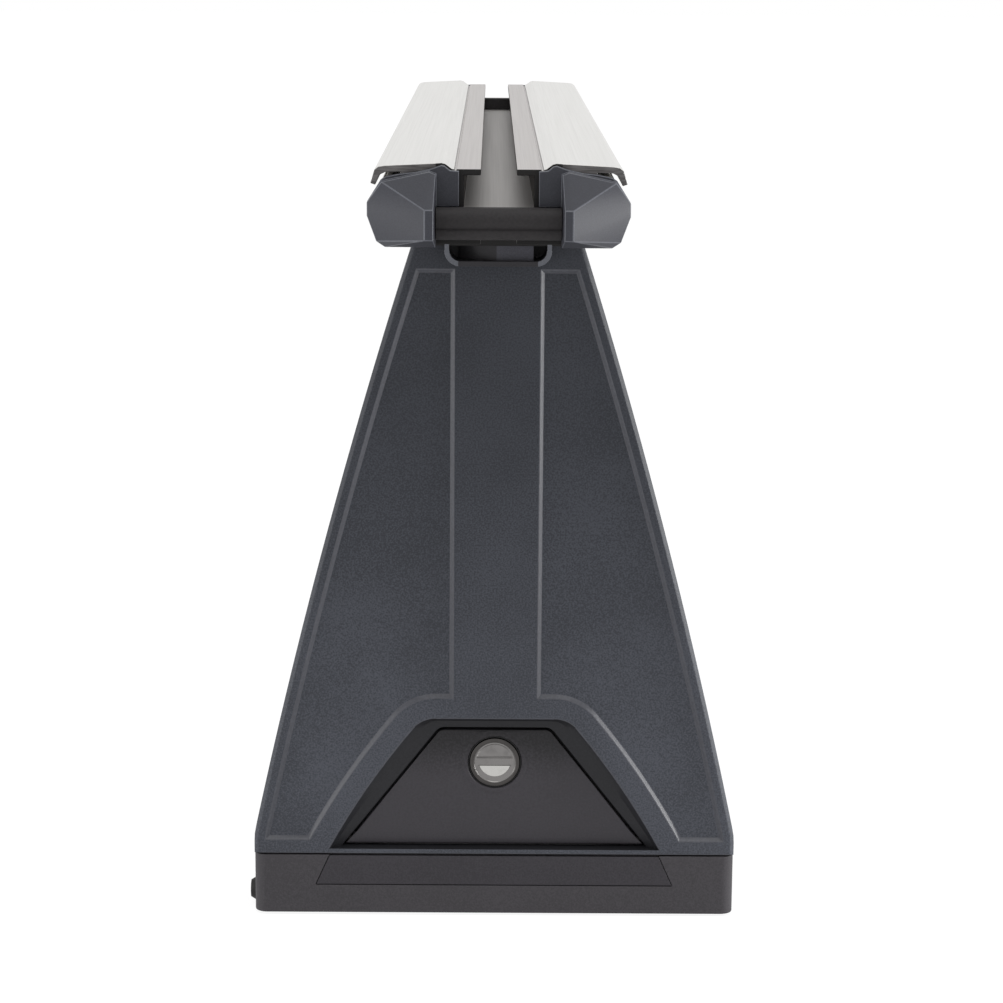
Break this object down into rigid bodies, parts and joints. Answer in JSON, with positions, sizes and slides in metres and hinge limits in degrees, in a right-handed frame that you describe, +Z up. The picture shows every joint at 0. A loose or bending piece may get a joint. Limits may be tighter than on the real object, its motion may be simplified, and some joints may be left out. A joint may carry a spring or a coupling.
{
  "type": "roof bar foot",
  "caption": "Tall tapered roof bar foot with a locked access door on a padded base, clamping a slotted aluminium roof bar with faceted end caps.",
  "frame": {"origin": "centre of the underside of the base pad, on the roof", "axes": "+Z up, +Y along the bar from the door side towards the middle of the roof, +X to the right seen from the door side"},
  "size_m": [0.1621, 0.55, 0.2552],
  "materials": {
    "pad_rubber": "moulded ribbed rubber",
    "zinc_steel": "bright zinc plated steel",
    "base_plastic": "matte grey-black moulded plastic",
    "cast_alloy": "plain cast aluminium",
    "cover_plastic": "fine grained black moulded plastic",
    "door_plastic": "smooth satin black moulded plastic",
    "saddle_plastic": "black moulded plastic",
    "sleeve_black": "glossy black sleeve",
    "lock_metal": "dark plated lock metal",
    "bar_alloy": "satin anodised aluminium",
    "cap_plastic": "soft touch blue-grey plastic",
    "stop_plastic": "firm brown-black rubber"
  },
  "bodies": {
    "foot": {"base_pad": "pad_rubber", "base_plate": "zinc_steel", "base_skirt": "base_plastic", "base_insert": "base_plastic", "foot_screws": "zinc_steel", "skirt_screw": "zinc_steel", "leg_casting": "cast_alloy", "leg_cover": "cover_plastic", "cover_screws": "zinc_steel", "bar_saddle": "saddle_plastic", "bar_bolts": "zinc_steel", "bar_bolt_washers": "zinc_steel", "slot_nut_plate": "zinc_steel", "hinge_pins": "zinc_steel"},
    "door": {"access_door": "door_plastic", "lock_sleeve": "sleeve_black"},
    "lock": {"lock_core": "lock_metal", "core_clip": "zinc_steel", "lock_cam": "zinc_steel", "cam_screw": "zinc_steel"},
    "bar": {"bar_extrusion": "bar_alloy", "end_cap_near_left": "cap_plastic", "end_cap_near_right": "cap_plastic", "end_cap_far_left": "cap_plastic", "end_cap_far_right": "cap_plastic", "channel_stop_near": "stop_plastic", "channel_stop_far": "stop_plastic", "upper_slot_stop": "stop_plastic"}
  },
  "joints": [
    {"name": "door_hinge", "type": "hinge", "parent": "foot", "child": "door", "pos_m": [0, -0.04125, 0.0254], "axis": [1, 0, 0], "range_deg": [0, 75]},
    {"name": "lock_turn", "type": "hinge", "parent": "door", "child": "lock", "pos_m": [0, -0.0433, 0.0524], "axis": [0, -1, 0], "range_deg": [0, 90]},
    {"name": "bar_slide", "type": "slide", "parent": "foot", "child": "bar", "axis": [0, 1, 0], "range_m": [-0.04, 0.04]}
  ]
}
